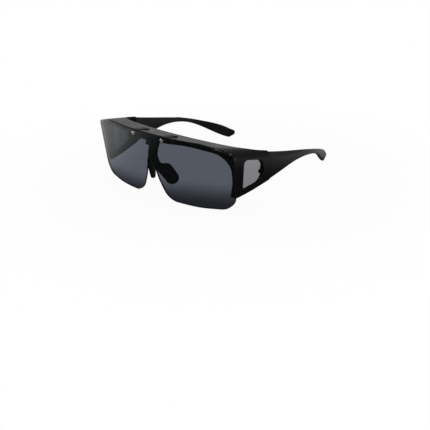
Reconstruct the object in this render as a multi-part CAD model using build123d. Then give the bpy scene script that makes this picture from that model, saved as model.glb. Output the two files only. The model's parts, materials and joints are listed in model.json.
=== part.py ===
from build123d import *
import math
import os

# Flip-up fitover sunglasses, in millimetres.
# They are drawn as worn, with the temples level: X runs across the face, +Y from the lens to the ears
# and +Z up. Height 0 is the outer front corner of the brow. "Left" is the wearer's left, at +X.
# At the end the finished pieces are laid down on the lens edge and the temple tips, as on a table.

# Brow shelf and front corners
CORNER_HALF_WIDTH = 68.7
CORNER_TO_BROW = 17.7
SHELF_HEIGHT = 4.4
SHELF_THICKNESS = 2.0
SHELF_DEPTH = 24.5
SHELF_REAR_SPREAD = 68.6
SHELF_REAR_SHARES = ((0.36, 0.04), (0.58, 0.115), (0.77, 0.225), (0.90, 0.40), (0.97, 0.64))
ROOF_FLAT_FRONT = 55.0
ROOF_FLAT_REAR = 67.5
ROOF_FALL_START = 22.0
ROOF_EDGE_TURN = 60.0
SHOULDER_DROP_FRONT = 0.4
SHOULDER_DROP_REAR = 0.9

# Shield lens
LENS_RADIUS = 170.0
LENS_TILT = 20.2
LENS_THICKNESS = 1.4
LENS_HALF_WIDTH = 69.7
LENS_HEIGHT = 51.7
LENS_TOP_CORNER_DROP = 8.9
LENS_SHOULDER_X = 48.2
LENS_SHOULDER_DROP = 1.7
LENS_FOOT_HALF_WIDTH = 67.0
LENS_FOOT_X = 41.0
LENS_FOOT_SAG = 1.2
NOSE_FOOT_HALF_WIDTH = 13.7
NOSE_SIDE_HALF_WIDTH = 6.5
NOSE_SIDE_DROP_SHARE = 0.6983
NOSE_PEAK_DROP = 13.0
LENS_CROWN_ROUND = 400.0
LENS_SHOULDER_ROUND = 60.0
LENS_CORNER_ROUND = 4.6
LENS_OUTER_FOOT_ROUND = 10.8
LENS_FOOT_ROUND = 120.0
LENS_INNER_FOOT_ROUND = 14.0
NOSE_SIDE_ROUND = 25.0
NOSE_ARCH_ROUND = 3.3

# Front band and corner posts behind the lens
LENS_GAP = 0.5
BAND_THICKNESS = 2.6
SHELF_EDGE_DROP = 2.9
SHELF_EDGE_LEAN = 27.5
BAND_DEPTH_CENTRE = 7.4
BAND_DEPTH_LOW = 4.9
BAND_LOW_X = 34.0
BAND_DEPTH_CORNER = 10.3
OPENING_HALF_WIDTH = 65.6
OPENING_STRAIGHT_DROP = 31.0
OPENING_FOOT_INSET = 3.4
OPENING_FOOT_DROP = 46.0
OPENING_CORNER_ROUND = 15.5
OPENING_LOW_ROUND = 80.0
OPENING_SIDE_ROUND = 50.0

# Side shields
SIDE_LENGTH = 40.8
SIDE_FLARE = 4.25
SIDE_DRAFT = 0.08
SIDE_WALL = 3.8
SEAM_LEAN = 12.5
SEAM_GAP = 0.3
SEAM_PIVOT_DROP = 8.0
POST_DROP = 30.6
SIDE_KEEL_SHARES = ((0.275, -1.0), (0.66, -0.815), (1.04, -0.585))
WINDOW_LIP = 2.6
PANE_MARGIN = 1.4
WINDOW_TOP_DROP = 2.2
WINDOW_FOOT_DROP = 25.2
WINDOW_REAR_DROP = 18.4
WINDOW_FRONT_TOP = 11.6
WINDOW_FRONT_FOOT = 16.6
WINDOW_HINGE_GAP = 0.4
WINDOW_FRONT_ROUND = 3.0
WINDOW_REAR_TOP_ROUND = 9.0
WINDOW_REAR_FOOT_ROUND = 7.0

# Temples
TEMPLE_LENGTH = 110.8
TEMPLE_BOW = 20.4
TEMPLE_THICKNESS = 3.5
TIP_DROP = 14.0
TEMPLE_STATION_SHARES = (0.0, 0.12, 0.28, 0.45, 0.60, 0.73, 0.845, 0.94, 1.06)
TEMPLE_BOW_SHARES = (0.0, -0.015, -0.005, 0.055, 0.20, 0.44, 0.69, 0.90, 1.14)
TEMPLE_TAPER_SHARES = (1.0, 1.0, 1.0, 1.0, 1.0, 0.98, 0.88, 0.72, 0.62)
RIDGE_STATION_SHARES = (0.0, 0.27, 0.45, 0.60, 0.73, 0.845, 0.945)
RIDGE_HEIGHT_SHARES = (0.243, 0.229, 0.179, 0.107, -0.010, -0.150, -0.395)
KEEL_STATION_SHARES = (0.12, 0.285, 0.44, 0.59, 0.72, 0.84, 0.915)
KEEL_HEIGHT_SHARES = (-0.907, -0.371, -0.121, -0.150, -0.425, -0.76, -0.93)
TIP_END_SHARES = (1.037, -0.58)
TIP_FOOT_SHARES = (0.945, -0.97)
TIP_END_ROUND = 2.5
TIP_FOOT_ROUND = 2.2
TEMPLE_EDGE_ROUND = 1.0
BEVEL_END_SHARE = 0.46
BEVEL_END_WIDTH = 3.4
BEVEL_END_DROP = 0.5
GRIP_START_SHARE = 0.75
GRIP_MIDDLE_SHARE = 0.845
GRIP_END_SHARE = 0.925
GRIP_MARGIN = 1.3
GRIP_DEPTH = 0.8
GRIP_RELIEF = 0.05
DIMPLE_SHARE = 0.965
DIMPLE_HEIGHT_SHARE = -0.62
DIMPLE_LENGTH = 3.0
DIMPLE_WIDTH = 1.6
DIMPLE_DEPTH = 0.8

# Temple hinges
HINGE_INSET = 3.3
KNUCKLE_RADIUS = 2.1
HINGE_SCREW_RADIUS = 0.75
HINGE_HEAD_RADIUS = 1.5
HINGE_HEAD_HEIGHT = 0.8
RUNNING_CLEARANCE = 0.05
KNUCKLE_GAP = 0.1
HINGE_TOP_DROP = 3.6
FRAME_LUG_HEIGHT = 2.6
TEMPLE_LUG_HEIGHT = 4.6
LUG_WEB = 5.0

# Flip hinge and lens screws
ARM_X = 14.6
ARM_WIDTH = 4.8
SLOT_SIDE_GAP = 0.4
SLOT_END_GAP = 0.5
PIVOT_BEHIND_BROW = 14.4
PIVOT_BELOW_SHELF = 1.0
ARM_KNUCKLE_RADIUS = 1.8
PIVOT_PIN_RADIUS = 0.6
PIVOT_LUG_WIDTH = 2.2
PIVOT_LUG_LENGTH = 6.4
PIVOT_LUG_DROP = 4.0
FRICTION_WASHER_RADIUS = 1.5
FRICTION_WASHER_THICKNESS = 0.3
LENS_SCREW_DROP = 3.35
ARM_TOP_DROP = 0.9
ARM_FOOT_DROP = 6.0
ARM_BLOCK_THICKNESS = 3.2
SLOT_FOOT_DROP = 8.0
LENS_WASHER_THICKNESS = 0.4
LENS_WASHER_SEAT = 0.2
LENS_WASHER_RADIUS = 2.2
SCREW_SHANK_RADIUS = 0.7
SCREW_HEAD_RADIUS = 1.75
SCREW_HEAD_HEIGHT = 0.9
SCREW_SEAT_DEPTH = 0.35
SCREW_RECESS_RADIUS = 0.75
SCREW_RECESS_DEPTH = 0.5
SCREW_LENGTH = 5.4

# Nose bridge
COLLAR_BEHIND_BROW = 5.9
COLLAR_WIDTH = 10.0
COLLAR_DEPTH = 4.4
COLLAR_DROP = 5.0
STRUT_BEHIND_BROW = 7.8
STRUT_WIDTH = 7.0
STRUT_DEPTH = 3.6
STRUT_DROP = 17.0
SLEEVE_WALL = 1.0
SLEEVE_FIT = 0.02
TONGUE_DROP = 11.0
PAD_ROOT_X = 4.0
PAD_ROOT_BEHIND_BROW = 10.2
PAD_ROOT_DROP = 15.0
PAD_NORMAL = (0.785, -0.590, -0.19)
PAD_LONG_AXIS = (0.32, 0.595, -0.737)
PAD_THICKNESS = 3.4
PAD_LENGTH = 24.3
PAD_WIDTH = 10.8
PAD_START_SHARE = 0.05
PAD_TOP_SHARE = 0.59
PAD_FOOT_SHARE = -0.31
PAD_ROOT_FOOT_SHARE = -0.44
PAD_EDGE_ROUND = 1.3
PAD_END_ROUND = 5.0
PAD_NECK_ROUND = 4.0
SADDLE_TOP_DROP = 18.5
SADDLE_HALF_WIDTH = 5.4
SADDLE_SHOULDER_DROP = 24.5
SADDLE_SHOULDER_ROUND = 3.0
SADDLE_LEG_HALF_WIDTH = 5.0
SADDLE_LEG_DROP = 31.0
SADDLE_ARCH_DROP = 28.0
SADDLE_THICKNESS = 3.0

# How the finished pair lies down, and the overrun of every cut
REST_TILT_START = 12.0
REST_PASSES = 4
OVERRUN = 70.0

TILT_SIN = math.sin(math.radians(LENS_TILT))
TILT_COS = math.cos(math.radians(LENS_TILT))
LENS_NORMAL = Vector(0, -TILT_COS, -TILT_SIN)
LENS_UP = Vector(0, -TILT_SIN, TILT_COS)
LENS_TOP = Vector(0, -CORNER_TO_BROW, SHELF_HEIGHT)
LENS_PLANE = Plane(origin=LENS_TOP, x_dir=(1, 0, 0), z_dir=LENS_NORMAL)
BAND_FRONT = LENS_THICKNESS + LENS_GAP
BAND_BACK = BAND_FRONT + BAND_THICKNESS


def sag(x):
    """How far the lens cylinder falls back at a distance from the centre line."""
    return LENS_RADIUS - math.sqrt(LENS_RADIUS**2 - x**2)


def lens_point(x, up, depth):
    """A point of the lens frame: across, up along the lens, and behind its outer face."""
    return LENS_TOP + Vector(x, 0, 0) + LENS_UP * up - LENS_NORMAL * (sag(x) + depth)


def inside_cylinder(depth):
    """Everything that lies deeper than a given depth behind the outer face of the lens."""
    centre = LENS_TOP - LENS_NORMAL * LENS_RADIUS
    axis = Plane(origin=centre, x_dir=(1, 0, 0), z_dir=LENS_UP)
    return axis * Cylinder(LENS_RADIUS - depth, 4 * OVERRUN)


def inside_shelf_edge():
    """Everything behind the sloping front edge of the shelf, which the lens swings over."""
    lean = math.radians(SHELF_EDGE_LEAN)
    up = LENS_UP * math.cos(lean) - LENS_NORMAL * math.sin(lean)
    inward = LENS_NORMAL * -math.cos(lean) - LENS_UP * math.sin(lean)
    centre = lens_point(0, -SHELF_EDGE_DROP, BAND_FRONT) + inward * (LENS_RADIUS - BAND_FRONT)
    axis = Plane(origin=centre, x_dir=(1, 0, 0), z_dir=up)
    return axis * Cylinder(LENS_RADIUS - BAND_FRONT, 4 * OVERRUN)


def curved_plate(outline, front, back):
    """An outline of the lens frame, cut out of the wall between two depths."""
    block = extrude(LENS_PLANE * make_face(outline), amount=OVERRUN, both=True)
    return block & (inside_cylinder(front) - inside_cylinder(back))


def side_x(y, z):
    """The outer face of a side shield or temple root at a place along and up the side."""
    return CORNER_HALF_WIDTH + SIDE_FLARE * y / SIDE_LENGTH + SIDE_DRAFT * z


def side_slab(outer, inner):
    """The left side wall between two depths under its outer face, longer and taller than needed."""
    sections = []
    for z in (-OVERRUN, OVERRUN / 2):
        corners = [
            (side_x(y, z) - depth, y, z)
            for y, depth in ((-OVERRUN, outer), (OVERRUN, outer), (OVERRUN, inner), (-OVERRUN, inner))
        ]
        sections.append(make_face(Polyline(*corners, close=True)))
    return loft(sections, ruled=True)


def across(face):
    """A side view outline, Y to the right and Z up, as a bar through the whole width."""
    return extrude(Plane.YZ * face, amount=2 * OVERRUN, both=True)


def mirrored(shape):
    """The wearer's right hand copy of a left hand piece."""
    return mirror(shape, about=Plane.YZ)


def both_sides(shape):
    """A left hand shape with its right hand copy."""
    return shape + mirrored(shape)


def roof_section(y, flat_x, edge_x, top, edge_drop):
    """What stands above the roof's rounded edge, as a section square to the side."""
    turn = math.radians(ROOF_EDGE_TURN)
    across_radius = (edge_x - flat_x) / math.sin(turn)
    down_radius = edge_drop / (1 - math.cos(turn))
    centre = (flat_x, top - down_radius)
    start = 90 - ROOF_EDGE_TURN
    fall = EllipticalCenterArc(centre, across_radius, down_radius, start, arc_size=ROOF_EDGE_TURN)
    far_x = edge_x + OVERRUN
    high = top + OVERRUN
    rest = Polyline(fall @ 1, (flat_x, high), (far_x, high), (far_x, top - edge_drop), fall @ 0)
    return Plane(origin=(0, y, 0), x_dir=(1, 0, 0), z_dir=(0, -1, 0)) * make_face(Curve() + [fall, rest])


def roof_rule(y):
    """Where the flat of the roof ends, and how far its edge drops, at a place along the side."""
    share = y / SIDE_LENGTH
    flat_x = ROOF_FLAT_FRONT + (ROOF_FLAT_REAR - ROOF_FLAT_FRONT) * share
    return flat_x, SHELF_HEIGHT + SHOULDER_DROP_FRONT + (SHOULDER_DROP_REAR - SHOULDER_DROP_FRONT) * share


def roof_cut(inset, drop):
    """The rounded fall of the roof from the shelf to the shoulder of the left side."""
    sections = []
    for y in (-OVERRUN / 2, SIDE_LENGTH + OVERRUN / 14):
        flat_x, edge_drop = roof_rule(y)
        edge_x = side_x(y, 0) - inset
        sections.append(roof_section(y, flat_x - inset, edge_x, SHELF_HEIGHT - drop, edge_drop))
    return loft(sections, ruled=True)


def envelope(depth, wall, drop, foot):
    """The space behind the band, between the side faces and under the roof."""
    sections = []
    for z in (-foot, SHELF_HEIGHT - drop):
        front, rear = side_x(-OVERRUN, z) - wall, side_x(OVERRUN, z) - wall
        corners = [(-front, -OVERRUN, z), (front, -OVERRUN, z), (rear, OVERRUN, z), (-rear, OVERRUN, z)]
        sections.append(make_face(Polyline(*corners, close=True)))
    block = loft(sections, ruled=True) & inside_cylinder(depth)
    return block - both_sides(roof_cut(wall, drop))


def roof_fall():
    """What stands over the roof's rear end, which falls to the height of the temple ridge."""
    seam_height = TIP_DROP * RIDGE_HEIGHT_SHARES[0]
    run = SIDE_LENGTH - ROOF_FALL_START
    low = (SIDE_LENGTH + run, 2 * seam_height - SHELF_HEIGHT)
    fall = Polyline((ROOF_FALL_START, SHELF_HEIGHT), low, (SIDE_LENGTH + run, OVERRUN), close=True)
    return across(make_face(fall))


def station(share):
    """Distance of a temple station from the front corners."""
    return SIDE_LENGTH + TEMPLE_LENGTH * share


def keel_curve():
    """The lower edge of the side shield and, past the seam, of the temple."""
    points = [(SIDE_LENGTH * along, POST_DROP * height) for along, height in SIDE_KEEL_SHARES]
    for share, height in zip(KEEL_STATION_SHARES, KEEL_HEIGHT_SHARES):
        points.append((station(share), TIP_DROP * height))
    return Spline(*points)


def behind_seam(gap):
    """Everything behind the leaning seam between a side shield and its temple."""
    lean = math.radians(SEAM_LEAN)
    normal = (0, math.cos(lean), math.sin(lean))
    pivot = (0, SIDE_LENGTH + gap, -SEAM_PIVOT_DROP)
    plane = Plane(origin=pivot, x_dir=(1, 0, 0), z_dir=normal)
    return plane * Pos(0, 0, 2 * OVERRUN) * Box(6 * OVERRUN, 6 * OVERRUN, 4 * OVERRUN)


def window_outline(margin):
    """The window of a side shield, grown by a margin for the pane's rebate."""
    rear = SIDE_LENGTH - LUG_WEB - WINDOW_HINGE_GAP - PANE_MARGIN + margin
    corners = [
        (WINDOW_FRONT_TOP - margin, margin - WINDOW_TOP_DROP),
        (rear, margin - WINDOW_TOP_DROP),
        (rear, -WINDOW_REAR_DROP - margin / 2),
        (WINDOW_FRONT_FOOT - margin, -WINDOW_FOOT_DROP - margin),
    ]
    rounds = [WINDOW_FRONT_ROUND, WINDOW_REAR_TOP_ROUND, WINDOW_REAR_FOOT_ROUND, WINDOW_FRONT_ROUND]
    return make_face(FilletPolyline(*corners, radius=[r + margin / 2 for r in rounds], close=True))


# Shield lens
def lens_outline():
    left = [
        (LENS_SHOULDER_X, -LENS_SHOULDER_DROP, LENS_SHOULDER_ROUND),
        (LENS_HALF_WIDTH, -LENS_TOP_CORNER_DROP, LENS_CORNER_ROUND),
        (LENS_FOOT_HALF_WIDTH, -LENS_HEIGHT, LENS_OUTER_FOOT_ROUND),
        (LENS_FOOT_X, -LENS_HEIGHT - LENS_FOOT_SAG, LENS_FOOT_ROUND),
        (NOSE_FOOT_HALF_WIDTH, -LENS_HEIGHT, LENS_INNER_FOOT_ROUND),
        (NOSE_SIDE_HALF_WIDTH, -LENS_HEIGHT * NOSE_SIDE_DROP_SHARE, NOSE_SIDE_ROUND),
    ]
    peak = [(0, -NOSE_PEAK_DROP, NOSE_ARCH_ROUND)]
    right = [(-x, s, r) for x, s, r in reversed(left)]
    corners = [(0, 0, LENS_CROWN_ROUND)] + left + peak + right
    return FilletPolyline(*[(x, s) for x, s, r in corners], radius=[r for x, s, r in corners], close=True)


def screw_axis_plane(depth):
    """Plane across the left lens screw, at a depth behind the lens face, facing out."""
    return Plane(origin=lens_point(ARM_X, -LENS_SCREW_DROP, depth), x_dir=(1, 0, 0), z_dir=LENS_NORMAL)


def drilled(depth_from, depth_to, radius):
    """A round bar on the axis of the left lens screw, between two depths."""
    length = depth_to - depth_from
    return screw_axis_plane(depth_to) * Pos(0, 0, length / 2) * Cylinder(radius, length)


def make_shield_lens():
    lens = curved_plate(lens_outline(), 0, LENS_THICKNESS)
    bore = drilled(-LENS_THICKNESS, 2 * LENS_THICKNESS, SCREW_SHANK_RADIUS + RUNNING_CLEARANCE)
    seat = drilled(-LENS_THICKNESS, SCREW_SEAT_DEPTH, SCREW_HEAD_RADIUS + RUNNING_CLEARANCE)
    return lens - both_sides(bore + seat)


# Flip arms with their screws, washers and pins
PIVOT_Y = PIVOT_BEHIND_BROW - CORNER_TO_BROW
PIVOT_Z = SHELF_HEIGHT - PIVOT_BELOW_SHELF
ARM_FRONT = LENS_THICKNESS + LENS_WASHER_SEAT + LENS_WASHER_THICKNESS


def pivot_bar(x_from, x_to, radius):
    """A round bar on the flip axis between two places across the face."""
    middle = Pos((x_from + x_to) / 2, PIVOT_Y, PIVOT_Z)
    return middle * Rot(0, 90, 0) * Cylinder(radius, x_to - x_from)


def make_flip_arm():
    front_top = lens_point(ARM_X, -ARM_TOP_DROP, ARM_FRONT)
    front_foot = lens_point(ARM_X, -ARM_FOOT_DROP, ARM_FRONT)
    back_foot = lens_point(ARM_X, -ARM_FOOT_DROP, ARM_FRONT + ARM_BLOCK_THICKNESS)
    corners = [(p.Y, p.Z) for p in (front_top, front_foot, back_foot)]
    corners += [(PIVOT_Y, PIVOT_Z - ARM_KNUCKLE_RADIUS), (PIVOT_Y, PIVOT_Z + ARM_KNUCKLE_RADIUS)]
    web = Plane.YZ * make_face(Polyline(*corners, close=True))
    arm = Pos(ARM_X, 0, 0) * extrude(web, amount=ARM_WIDTH / 2, both=True)
    arm += pivot_bar(ARM_X - ARM_WIDTH / 2, ARM_X + ARM_WIDTH / 2, ARM_KNUCKLE_RADIUS)
    arm -= pivot_bar(ARM_X - ARM_WIDTH, ARM_X + ARM_WIDTH, PIVOT_PIN_RADIUS + RUNNING_CLEARANCE)
    return arm - drilled(0, SCREW_SEAT_DEPTH + SCREW_LENGTH, SCREW_SHANK_RADIUS)


def make_lens_screw():
    head = drilled(SCREW_SEAT_DEPTH - SCREW_HEAD_HEIGHT, SCREW_SEAT_DEPTH, SCREW_HEAD_RADIUS)
    rim = head.edges().sort_by_distance(screw_axis_plane(-OVERRUN).origin)[0]
    head = chamfer(rim, SCREW_HEAD_HEIGHT / 3)
    shank = drilled(SCREW_SEAT_DEPTH, SCREW_SEAT_DEPTH + SCREW_LENGTH, SCREW_SHANK_RADIUS)
    recess_plane = screw_axis_plane(SCREW_SEAT_DEPTH - SCREW_HEAD_HEIGHT + SCREW_RECESS_DEPTH)
    recess = extrude(recess_plane * RegularPolygon(SCREW_RECESS_RADIUS, 6), amount=SCREW_HEAD_HEIGHT)
    return head + shank - recess


def make_lens_washer():
    back = ARM_FRONT
    ring = drilled(back - LENS_WASHER_THICKNESS, back, LENS_WASHER_RADIUS)
    return ring - drilled(0, 2 * back, SCREW_SHANK_RADIUS + RUNNING_CLEARANCE)


def make_pivot_pin():
    half = ARM_WIDTH / 2 + SLOT_SIDE_GAP + PIVOT_LUG_WIDTH
    return pivot_bar(ARM_X - half, ARM_X + half, PIVOT_PIN_RADIUS)


def make_friction_washer():
    inner = ARM_X + ARM_WIDTH / 2 + (SLOT_SIDE_GAP - FRICTION_WASHER_THICKNESS) / 2
    outer = inner + FRICTION_WASHER_THICKNESS
    ring = pivot_bar(inner, outer, FRICTION_WASHER_RADIUS)
    return ring - pivot_bar(0, 2 * ARM_X, PIVOT_PIN_RADIUS + SLEEVE_FIT)


# Temple hinge
HINGE_X = side_x(SIDE_LENGTH, -SEAM_PIVOT_DROP) - TEMPLE_THICKNESS - HINGE_INSET
HINGE_Y = SIDE_LENGTH
LOWER_LUG_DROP = HINGE_TOP_DROP + FRAME_LUG_HEIGHT + TEMPLE_LUG_HEIGHT + 2 * KNUCKLE_GAP
HINGE_FOOT_DROP = LOWER_LUG_DROP + FRAME_LUG_HEIGHT


def hinge_bar(top_drop, foot_drop, radius):
    """An upright round bar on the left temple's fold axis."""
    height = foot_drop - top_drop
    return Pos(HINGE_X, HINGE_Y, -top_drop - height / 2) * Cylinder(radius, height)


def hinge_lug(top_drop, height, direction):
    """A knuckle with its web to the wall, forward (-1) for the front or back (1) for the temple."""
    knuckle = hinge_bar(top_drop, top_drop + height, KNUCKLE_RADIUS)
    reach = side_x(HINGE_Y, -top_drop) - WINDOW_LIP - HINGE_X
    web_centre = (HINGE_X + reach / 2, HINGE_Y + direction * LUG_WEB / 2, -top_drop - height / 2)
    web = Pos(*web_centre) * Box(reach, LUG_WEB, height)
    behind = behind_seam(direction * SEAM_GAP / 2)
    return knuckle + (web & behind if direction > 0 else web - behind)


def make_hinge_screw():
    screw = hinge_bar(HINGE_TOP_DROP, HINGE_FOOT_DROP, HINGE_SCREW_RADIUS)
    head = hinge_bar(HINGE_TOP_DROP - HINGE_HEAD_HEIGHT, HINGE_TOP_DROP, HINGE_HEAD_RADIUS)
    slot = Pos(HINGE_X, HINGE_Y, -HINGE_TOP_DROP + HINGE_HEAD_HEIGHT)
    slot *= Box(2 * HINGE_HEAD_RADIUS, HINGE_HEAD_RADIUS / 3, HINGE_HEAD_HEIGHT)
    return screw + head - slot


# Front frame
def band_opening():
    foot_x = OPENING_HALF_WIDTH - OPENING_FOOT_INSET
    left = [
        (BAND_LOW_X, -BAND_DEPTH_LOW, OPENING_LOW_ROUND),
        (OPENING_HALF_WIDTH, -BAND_DEPTH_CORNER, OPENING_CORNER_ROUND),
        (OPENING_HALF_WIDTH, -OPENING_STRAIGHT_DROP, OPENING_SIDE_ROUND),
        (foot_x, -OPENING_FOOT_DROP, 0),
        (foot_x, -OPENING_FOOT_DROP - OVERRUN, 0),
    ]
    right = [(-x, s, r) for x, s, r in reversed(left)]
    corners = [(0, -BAND_DEPTH_CENTRE, OPENING_LOW_ROUND)] + left + right
    return FilletPolyline(*[(x, s) for x, s, r in corners], radius=[r for x, s, r in corners], close=True)


def shelf_rear_cut():
    """Plan of the space behind the shelf, open to the rear."""
    y_centre = SHELF_DEPTH - CORNER_TO_BROW
    span = SIDE_LENGTH - y_centre
    points = [(SHELF_REAR_SPREAD * x, y_centre + span * y) for x, y in SHELF_REAR_SHARES]
    points.append((SHELF_REAR_SPREAD, SIDE_LENGTH))
    left = [(-x, y) for x, y in reversed(points)]
    edge = Spline(*left, (0, y_centre), *points)
    rear = Polyline(
        points[-1],
        (SHELF_REAR_SPREAD, SIDE_LENGTH + OVERRUN),
        (-SHELF_REAR_SPREAD, SIDE_LENGTH + OVERRUN),
        left[0],
    )
    plan = make_face(Curve() + [edge, rear])
    return Pos(0, 0, -SEAM_PIVOT_DROP) * extrude(plan, amount=OVERRUN)


def below_keel():
    """Everything under the posts and the lower edges of the side shields."""
    keel = keel_curve()
    start, end = keel @ 0, keel @ 1
    rest = Polyline(
        end,
        (end.X, -OVERRUN),
        (-OVERRUN, -OVERRUN),
        (-OVERRUN, start.Y),
        start,
    )
    return across(make_face(Curve() + [keel, rest]))


def flip_slots():
    """The slots in shelf and band that the flip arms swing out of."""
    width = ARM_WIDTH + 2 * SLOT_SIDE_GAP
    rear = PIVOT_Y + ARM_KNUCKLE_RADIUS + SLOT_END_GAP
    slot = Box(width, OVERRUN, OVERRUN, align=(Align.CENTER, Align.MAX, Align.MIN))
    return both_sides(Pos(ARM_X, rear, SHELF_HEIGHT - SLOT_FOOT_DROP) * slot)


def pivot_lugs():
    hung = (Align.CENTER, Align.CENTER, Align.MAX)
    lug = Box(PIVOT_LUG_WIDTH, PIVOT_LUG_LENGTH, PIVOT_LUG_DROP, align=hung)
    offset = ARM_WIDTH / 2 + SLOT_SIDE_GAP + PIVOT_LUG_WIDTH / 2
    pair = Part() + [Pos(ARM_X + side * offset, PIVOT_Y, SHELF_HEIGHT) * lug for side in (-1, 1)]
    return both_sides(pair)


def nose_bar(wall, top, foot_drop):
    """The nose bridge's upright bar, or its core under a wall, down from a height."""
    hung = (Align.CENTER, Align.MIN, Align.MAX)
    bar = Box(STRUT_WIDTH - 2 * wall, STRUT_DEPTH - 2 * wall, top + foot_drop, align=hung)
    return Pos(0, STRUT_BEHIND_BROW + wall - CORNER_TO_BROW, top) * bar


def nose_collar():
    """The block under the shelf that the nose bridge stops against."""
    hung = (Align.CENTER, Align.MIN, Align.MAX)
    top = SHELF_HEIGHT - SHELF_THICKNESS / 2
    block = Box(COLLAR_WIDTH, COLLAR_DEPTH, top + COLLAR_DROP, align=hung)
    return Pos(0, COLLAR_BEHIND_BROW - CORNER_TO_BROW, top) * block


def make_front_frame():
    shell = envelope(BAND_FRONT, 0, 0, OVERRUN) & inside_shelf_edge()
    shell -= envelope(BAND_BACK, SIDE_WALL, SHELF_THICKNESS, 2 * OVERRUN)
    shell -= curved_plate(band_opening(), 0, BAND_BACK + SEAM_GAP)
    shell -= shelf_rear_cut() + roof_fall()
    shell -= below_keel()
    shell -= behind_seam(-SEAM_GAP / 2)
    shell -= both_sides(across(window_outline(0)) & side_slab(-WINDOW_LIP, OVERRUN / 2))
    shell -= both_sides(across(window_outline(PANE_MARGIN)) & side_slab(WINDOW_LIP, OVERRUN / 4))
    shell += pivot_lugs()
    shell += nose_collar() & inside_cylinder(BAND_FRONT)
    shell += nose_bar(SLEEVE_WALL, 0, TONGUE_DROP)
    shell -= flip_slots()
    shell -= both_sides(pivot_bar(0, 2 * ARM_X, PIVOT_PIN_RADIUS + SLEEVE_FIT) & pivot_lugs())
    lugs = hinge_lug(HINGE_TOP_DROP, FRAME_LUG_HEIGHT, -1) + hinge_lug(LOWER_LUG_DROP, FRAME_LUG_HEIGHT, -1)
    bore = hinge_bar(0, 2 * HINGE_FOOT_DROP, HINGE_SCREW_RADIUS + SLEEVE_FIT)
    knuckle_room = hinge_bar(
        HINGE_TOP_DROP + FRAME_LUG_HEIGHT, LOWER_LUG_DROP, KNUCKLE_RADIUS + SEAM_GAP
    )
    return shell + both_sides(lugs) - both_sides(bore + knuckle_room)


def make_side_lens():
    pane = side_slab(WINDOW_LIP, SIDE_WALL) & across(window_outline(PANE_MARGIN - RUNNING_CLEARANCE))
    return pane.solids().sort_by(Axis.X)[-1]


# Nose bridge
def nose_saddle():
    """The web under the bar that joins the two pads and follows the back of the lens."""
    side = [
        (STRUT_WIDTH / 2, -SADDLE_TOP_DROP, 0),
        (SADDLE_HALF_WIDTH, -SADDLE_SHOULDER_DROP, SADDLE_SHOULDER_ROUND),
        (SADDLE_LEG_HALF_WIDTH, -SADDLE_LEG_DROP, 0),
    ]
    corners = side + [(0, -SADDLE_ARCH_DROP, 0)] + [(-x, s, r) for x, s, r in reversed(side)]
    outline = FilletPolyline(*[(x, s) for x, s, r in corners], radius=[r for x, s, r in corners], close=True)
    return curved_plate(outline, BAND_FRONT, BAND_FRONT + SADDLE_THICKNESS)


def make_nose_bridge():
    strut = nose_bar(0, -COLLAR_DROP, STRUT_DROP)
    socket = nose_bar(SLEEVE_WALL - SLEEVE_FIT, 0, TONGUE_DROP + SLEEVE_FIT)
    root = Vector(PAD_ROOT_X, PAD_ROOT_BEHIND_BROW - CORNER_TO_BROW, -PAD_ROOT_DROP)
    pad_plane = Plane(origin=root, x_dir=PAD_LONG_AXIS, z_dir=PAD_NORMAL)
    near, far = PAD_WIDTH * PAD_FOOT_SHARE, PAD_WIDTH * PAD_TOP_SHARE
    start = PAD_LENGTH * PAD_START_SHARE
    corners = [
        (start, PAD_WIDTH * PAD_ROOT_FOOT_SHARE),
        (start, PAD_WIDTH / 12),
        (PAD_LENGTH / 5, PAD_WIDTH / 12),
        (PAD_LENGTH / 3, far),
        (PAD_LENGTH, far),
        (PAD_LENGTH, near),
    ]
    rounds = [0, 0, PAD_NECK_ROUND, PAD_END_ROUND, PAD_END_ROUND, PAD_END_ROUND]
    outline = FilletPolyline(*corners, radius=rounds, close=True)
    pad = extrude(pad_plane * make_face(outline), amount=PAD_THICKNESS / 2, both=True)
    rims = [face.edges() for face in pad.faces().sort_by(Axis(root, PAD_NORMAL))[:: len(pad.faces()) - 1]]
    pad = fillet(rims[0] + rims[1], PAD_EDGE_ROUND)
    bridge = (strut + nose_saddle() + both_sides(pad)) & inside_cylinder(BAND_FRONT)
    return bridge - socket


# Temples
def temple_plan(thickness_from, thickness_to):
    """Plan of a temple between two depths under its outer face, as a leaning upright bar."""
    curves = []
    for depth in (thickness_from, thickness_to):
        points = [
            (side_x(SIDE_LENGTH, 0) - TEMPLE_BOW * bow - depth * taper, station(share))
            for share, bow, taper in zip(TEMPLE_STATION_SHARES, TEMPLE_BOW_SHARES, TEMPLE_TAPER_SHARES)
        ]
        front = (side_x(0, 0) - depth, 0)
        curves.append(Spline(front, *points))
    ends = [Line(curves[0] @ end, curves[1] @ end) for end in (0, 1)]
    plan = make_face(Curve() + curves + ends)
    lean = Vector(SIDE_DRAFT, 0, 1)
    low = Pos(-SIDE_DRAFT * OVERRUN, 0, -OVERRUN) * plan
    return extrude(low, amount=2 * OVERRUN * lean.length, dir=lean)


def temple_profile():
    """Side view of a temple, running forward past the seam to be cut there."""
    ridge_points = [(0, TIP_DROP * RIDGE_HEIGHT_SHARES[0])]
    for share, height in zip(RIDGE_STATION_SHARES, RIDGE_HEIGHT_SHARES):
        ridge_points.append((station(share), TIP_DROP * height))
    ridge = Spline(*ridge_points)
    keel = keel_curve()
    corners = [(station(along), TIP_DROP * height) for along, height in (TIP_END_SHARES, TIP_FOOT_SHARES)]
    tip = FilletPolyline(ridge @ 1, *corners, keel @ 1, radius=[TIP_END_ROUND, TIP_FOOT_ROUND])
    front = Polyline(keel @ 0, (0, -POST_DROP), ridge @ 0)
    return make_face(Curve() + [ridge, tip, keel, front])


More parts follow.
